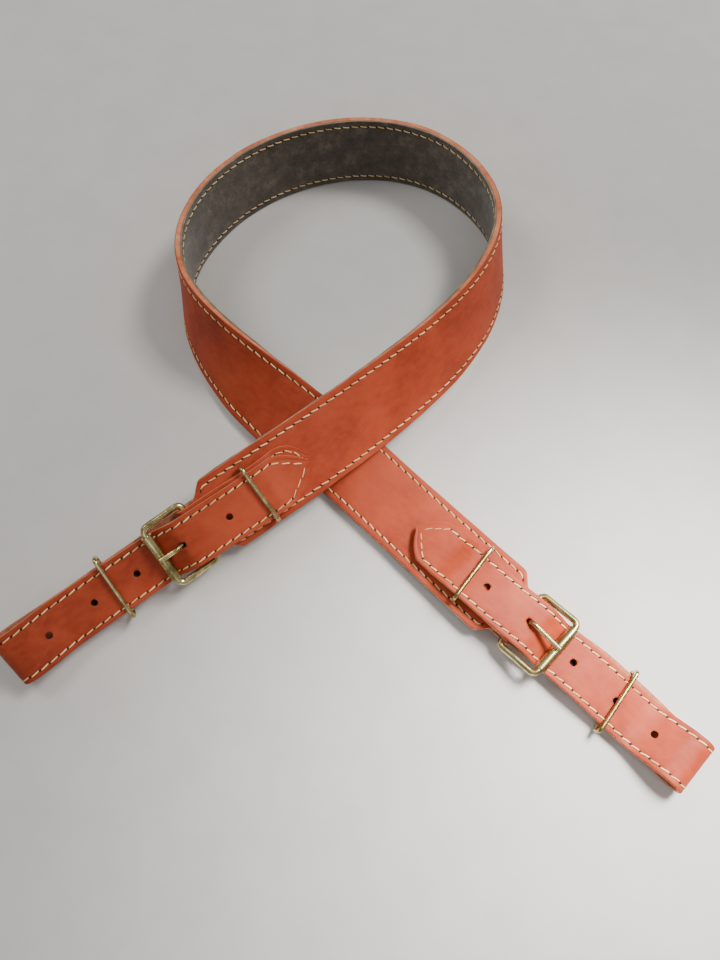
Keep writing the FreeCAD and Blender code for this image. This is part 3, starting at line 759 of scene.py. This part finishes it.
def hole_shade_points(row, place):
    """Points of the oval of painted shade that marks one hole: its rim, then its middle a little prouder."""
    turn = RNG.uniform(-0.2, 0.2)
    size = RNG.uniform(0.50, 0.64)
    s = place + np.append(np.cos(STITCH_ANGLES) * size * 1.25, 0.0)
    y = row.y_of(s) + np.append(np.sin(STITCH_ANGLES) * size, 0.0) + turn * (s - place)
    z = row.z_of(s) + row.side * np.append(np.full(STITCH_SIDES, -0.05), 0.09)
    return row.path.at(s, y, z)


def stitch_rows(name, rows, node):
    """Slanted saddle stitches and dark ovals of painted shade for the awl holes at their ends, in place of
    one of the CAD's nodes.
    """
    vertices, faces, tints = [], [], []
    shade_vertices, shade_faces = [], []
    for row in rows:
        for start, end in zip(row.holes[:-1], row.holes[1:]):
            faces += stitch_faces(len(vertices) * STITCH_RINGS * STITCH_SIDES, row.side)
            vertices.append(stitch_points(row, start, end))
            tints.append(np.full(STITCH_RINGS * STITCH_SIDES, RNG.uniform(0, 1)))
        for place in row.holes:
            base = len(shade_vertices) * (STITCH_SIDES + 1)
            shade_vertices.append(hole_shade_points(row, place))
            for j in range(STITCH_SIDES):
                triangle = (base + j, base + (j + 1) % STITCH_SIDES, base + STITCH_SIDES)
                shade_faces.append(triangle if row.side < 0 else triangle[::-1])
    stitches = make_mesh(name, np.concatenate(vertices), faces, [THREAD], tint=np.concatenate(tints))
    # The ovals carry the painted hole shade.
    holes = make_mesh(name + "_holes", np.concatenate(shade_vertices), shade_faces, [HOLE_SHADE])
    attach(stitches, "strap")
    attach(holes, "strap")
    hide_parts(node)


# ---- the band ----------------------------------------------------------------------------------
def build_band():
    """The wide band: grain leather over a suede lining, sewn along both edges."""
    path = band_path()
    length = path.length

    def half_at(s):
        right_x = NECK_END - s
        left_x = NECK_END - (length - s)
        return np.minimum(band_half(right_x), band_half(left_x))

    travel = np.linspace(0, length, int(length / BAND_STEP))
    holes = evenly(BAND_ROW_END, length - BAND_ROW_END)

    def pull(s, y, sign):
        return -sign * thread_pull(s, y, half_at(s) - BAND_INSET, holes, BAND_PULL)

    seam = LINING - BAND / 2
    top = section(seam + 0.01, BAND / 2, 0.45, 0.1, 0.18, 0, BAND_INSET)
    leather = ribbon("band_leather_grain", path, travel, half_at(travel), top, BAND_SKIN,
                     BAND_RELIEF, pull)
    under = section(-BAND / 2, seam, 0.1, 0.3, 0, 0.16, BAND_INSET)
    lining = ribbon("band_lining_suede", path, travel, half_at(travel) + 0.02, under,
                    [SUEDE, SUEDE_EDGE, SUEDE], LINING_RELIEF, pull)
    for piece, slot, node in ((leather, "leather", "band_leather"), (lining, "suede", "band_lining")):
        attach(piece, "strap")
        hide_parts(node)

    rows = []
    for side in (1, -1):
        for sign in (1, -1):
            def y_of(s, sign=sign):
                return sign * (half_at(s) - BAND_INSET)

            rows.append(Row(path, holes, y_of, steady(side * (BAND / 2 - SUNK_IN_BAND)), side))
    stitch_rows("band_stitches", rows, "band_stitching")


# ---- the ends ----------------------------------------------------------------------------------
def cut(piece, cutters):
    """Takes the cutters' shapes out of a piece and applies the result."""
    for cutter in cutters:
        modifier = piece.modifiers.new("cut", "BOOLEAN")
        modifier.operation = "DIFFERENCE"
        modifier.solver = "EXACT"
        modifier.object = cutter
    depsgraph = bpy.context.evaluated_depsgraph_get()
    mesh = bpy.data.meshes.new_from_object(piece.evaluated_get(depsgraph))
    piece.modifiers.clear()
    old = piece.data
    piece.data = mesh
    mesh.name = piece.name
    bpy.data.meshes.remove(old)
    for cutter in cutters:
        data = cutter.data
        bpy.data.objects.remove(cutter)
        bpy.data.meshes.remove(data)


def peg(home, centre, axis, across, radius, length, stretch=0.0):
    """A round or oblong cutter about an axis, all in an end's own frame. Its cut walls take the painted hole
    shade, so its cuts look like dark holes.
    """
    axis, across = unit(np.array(axis, float)), unit(np.array(across, float))
    other = np.cross(axis, across)
    ring = []
    for k in range(PEG_SIDES):
        angle = 2 * math.pi * k / PEG_SIDES
        shift = stretch / 2 * (1 if math.cos(angle) > 0 else -1)
        ring.append(across * (math.cos(angle) * radius + shift) + other * math.sin(angle) * radius)
    ring = np.array(centre) + np.array(ring)
    reach = axis * length / 2
    vertices = home.turn(np.concatenate([ring - reach, ring + reach])) + home.origin
    faces = []
    for k in range(PEG_SIDES):
        after = (k + 1) % PEG_SIDES
        faces.append((k, after, PEG_SIDES + after, PEG_SIDES + k))
    faces += [tuple(range(PEG_SIDES - 1, -1, -1)), tuple(range(PEG_SIDES, 2 * PEG_SIDES))]
    shade_slot = STRAP_SKIN.index(HOLE_SHADE)
    return make_mesh("cutter", vertices, faces, [HOLE_SHADE] * len(STRAP_SKIN), [shade_slot] * len(faces), smooth=False)


def prong_line(side):
    """Where a prong leaves its coil, and the direction it rises in."""
    rise = math.radians(side["prong_rise"])
    start = np.array([COIL_RADIUS * math.sin(rise), side["buckle_y"], HEEL_Z - COIL_RADIUS * math.cos(rise)])
    return start, np.array([math.cos(rise), 0, math.sin(rise)])


def prong_travel(side, path):
    """Distance along the billet to where the prong comes through it."""
    start, along = prong_line(side)
    local = np.array([side["frame"].local(point) for point in path.points])
    through = start + along * ((local[:, 2] - start[2]) / along[2])[:, None]
    return float(path.travel[np.argmax(local[:, 0] >= through[:, 0])])


def billet_cutters(side, path):
    """Pegs for the punched holes, and an oblong one where the prong stands with room to play."""
    home = side["frame"]
    prong = prong_travel(side, path)
    cutters = []
    for distance in side["holes"]:
        centre = home.local(path.at(prong + distance, 0.0, 0.0))
        above = home.local(path.at(prong + distance, 0.0, 1.0))
        cutters.append(peg(home, centre, above - centre, (0, 1, 0), HOLE_RADIUS, STRAP + 2))
    start, along = prong_line(side)
    play = np.array([-along[2], 0, along[0]])
    middle = start + along * PRONG_MIDDLE + play * side["prong_play"] / 2
    cutters.append(peg(home, middle, along, play, PRONG_WIRE / 2 + PRONG_ROOM, 9, side["prong_play"]))
    return cutters


def build_billet(name, side, path, holes, ring):
    """The narrow strap with its pointed tail."""
    tip = side["tip"]
    nose = np.concatenate([1 - np.cos(np.linspace(0.05, math.pi / 2, 9)), np.arange(1.4, tip + 2, 0.4)])
    rest = np.linspace(tip + 2.4, path.length, int(path.length / BILLET_STEP))
    travel = np.concatenate([nose, rest])

    def pull(s, y, sign):
        drawn = thread_pull(s, y, HALF_STRAP - STRAP_INSET, holes, STRAP_PULL)
        return -sign * np.where((sign > 0) & (s > tip), drawn, 0)

    billet = ribbon(name + "_billet", path, travel, tail_half(travel, tip), ring, STRAP_SKIN,
                    BILLET_RELIEF, pull)
    cut(billet, billet_cutters(side, path))
    return billet


def build_chape(name, side, path, ring):
    """The strap folded round the buckle's heel bar, slotted there for the prong."""
    nose = HALF_STRAP * (1 - np.cos(np.linspace(0.06, math.pi / 2, 26)))
    rest = np.linspace(HALF_STRAP + 0.5, path.length, int(path.length / CHAPE_STEP))
    travel = np.concatenate([nose, rest])
    chape = ribbon(name + "_chape", path, travel, tongue_half(travel), ring, STRAP_SKIN,
                   CHAPE_RELIEF)
    slot = peg(side["frame"], (SLOT_X, side["buckle_y"], HEEL_Z), (0, 0, 1), (1, 0, 0),
               PRONG_WIRE / 2 + SLOT_ROOM, 12, SLOT_STRETCH)
    cut(chape, [slot])
    return chape


def sew_billet(name, path, holes):
    """Rows along both edges, and from there to the tail's point."""
    edge = HALF_STRAP - STRAP_INSET
    tip_holes = np.linspace(TIP_ROW_START, holes[0], 4)
    rows = []
    for sign in (1, -1):
        def tip_y(s, sign=sign):
            share = np.clip((s - TIP_ROW_START) / (holes[0] - TIP_ROW_START), 0, 1)
            return sign * (TIP_ROW_HALF + (edge - TIP_ROW_HALF) * share ** 0.85)

        rows.append(Row(path, holes, steady(sign * edge), STRAP_ROW_Z, 1))
        rows.append(Row(path, tip_holes, tip_y, STRAP_ROW_Z, 1))
    stitch_rows(name + "_billet_stitches", rows, name + "_billet_stitching")


def sew_chape(name, side, path):
    """Rows along the tongue's straight edges, and a half circle round its end."""
    home = side["frame"]
    radius = HALF_STRAP - STRAP_INSET
    straight = evenly(HALF_STRAP, side["fixed_x"] + 14 - side["tongue"] + 1)
    rows = [Row(path, straight, steady(sign * radius), STRAP_ROW_Z, 1) for sign in (1, -1)]
    points, across = [], []
    for a in np.linspace(-math.pi / 2, math.pi / 2, 61):
        points.append(path.at(HALF_STRAP - radius * math.cos(a), radius * math.sin(a), 0.0))
        across.append(home.turn(np.array([math.cos(a), -math.sin(a), 0.0])))
    arc = Path(points, [home.z] * len(points), across)
    rows.append(Row(arc, evenly(0, arc.length), steady(0), STRAP_ROW_Z, 1))
    stitch_rows(name + "_chape_stitches", rows, name + "_chape_stitching")


def build_end(name, side):
    """One end: billet, chape, their stitches, and brass on the CAD's own metal pieces."""
    path = billet_path(side)
    fold = chape_path(side)
    holes = evenly(side["tip"] + 2.0, path.length - BILLET_ROW_END)
    ring = section(-STRAP / 2, STRAP / 2, 0.38, 0.15, 0.16, 0.1, STRAP_INSET)
    billet = build_billet(name, side, path, holes, ring)
    chape = build_chape(name, side, fold, ring)
    for piece, node in ((billet, "billet_strap"), (chape, "chape")):
        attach(piece, "strap")
        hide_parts(name + "_" + node)
    sew_billet(name, path, holes)
    sew_chape(name, side, fold)
    for node in ("buckle_frame", "buckle_roller", "buckle_prong", "fixed_keeper", "sliding_keeper"):
        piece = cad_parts[name + "_" + node]
        piece.data.materials.clear()
        piece.data.materials.append(BRASS)


build_band()
for end_name, end_side in SIDES.items():
    build_end(end_name, end_side)


# ---- the setting -------------------------------------------------------------------------------
# Metres here. Lamps: name, place, target, size, spread in degrees, power in watts, colour.
LAMPS = (
    ("key", (0.70, 0.55, 1.05), (0.02, 0, 0), 0.34, 180, 11.0, (1.0, 0.96, 0.90)),
    ("pool", (0.30, 0.02, 0.46), (0.14, -0.15, 0), 0.16, 48, 0.80, (1.0, 0.95, 0.89)),
    ("second", (-0.80, 0.45, 1.05), (0, 0, 0), 0.5, 180, 5.0, (1.0, 0.97, 0.93)),
    ("fill", (0.1, -1.1, 1.3), (0, 0, 0), 1.2, 180, 3.2, (0.95, 0.97, 1.0)),
)
WORLD_COLOUR = (1.0, 0.985, 0.96, 1)
WORLD_STRENGTH = 0.27
FLOOR_HALF = 6.0
CAMERA_PLACE = (0.00508, -0.15532, 0.35008)
CAMERA_DOWN = 69.8
CAMERA_SENSOR = 36.0
CAMERA_LENS = 27.6


def floor_material():
    m = Nodes("pale_floor")
    grain = m.noise(m.object_space(), 40, 4, 0.6)
    colour = m.ramp(grain, [(0.3, (0.60, 0.59, 0.575, 1)), (0.7, (0.64, 0.63, 0.615, 1))])
    m.set(m.shader.inputs["Base Color"], colour)
    m.shader.inputs["Roughness"].default_value = 0.85
    return m.material


def build_floor():
    mesh = bpy.data.meshes.new("floor")
    corners = [(x * FLOOR_HALF, y * FLOOR_HALF, 0) for x, y in ((-1, -1), (1, -1), (1, 1), (-1, 1))]
    mesh.from_pydata(corners, [], [(0, 1, 2, 3)])
    mesh.materials.append(floor_material())
    floor = bpy.data.objects.new("floor", mesh)
    bpy.context.scene.collection.objects.link(floor)


def build_light():
    world = bpy.data.worlds.new("studio")
    bpy.context.scene.world = world
    world.use_nodes = True
    background = world.node_tree.nodes["Background"]
    background.inputs["Color"].default_value = WORLD_COLOUR
    background.inputs["Strength"].default_value = WORLD_STRENGTH
    for name, place, target, size, spread, power, colour in LAMPS:
        lamp = bpy.data.lights.new(name, "AREA")
        lamp.size = size
        lamp.spread = math.radians(spread)
        lamp.energy = power
        lamp.color = colour
        light = bpy.data.objects.new(name, lamp)
        light.location = place
        light.rotation_euler = (Vector(target) - Vector(place)).to_track_quat("-Z", "Y").to_euler()
        bpy.context.scene.collection.objects.link(light)


def build_camera():
    lens = bpy.data.cameras.new("camera")
    lens.sensor_width = CAMERA_SENSOR
    lens.lens = CAMERA_LENS
    camera = bpy.data.objects.new("camera", lens)
    camera.location = CAMERA_PLACE
    camera.rotation_euler = (math.radians(90 - CAMERA_DOWN), 0, 0)
    bpy.context.scene.collection.objects.link(camera)
    bpy.context.scene.camera = camera


build_floor()
build_light()
build_camera()
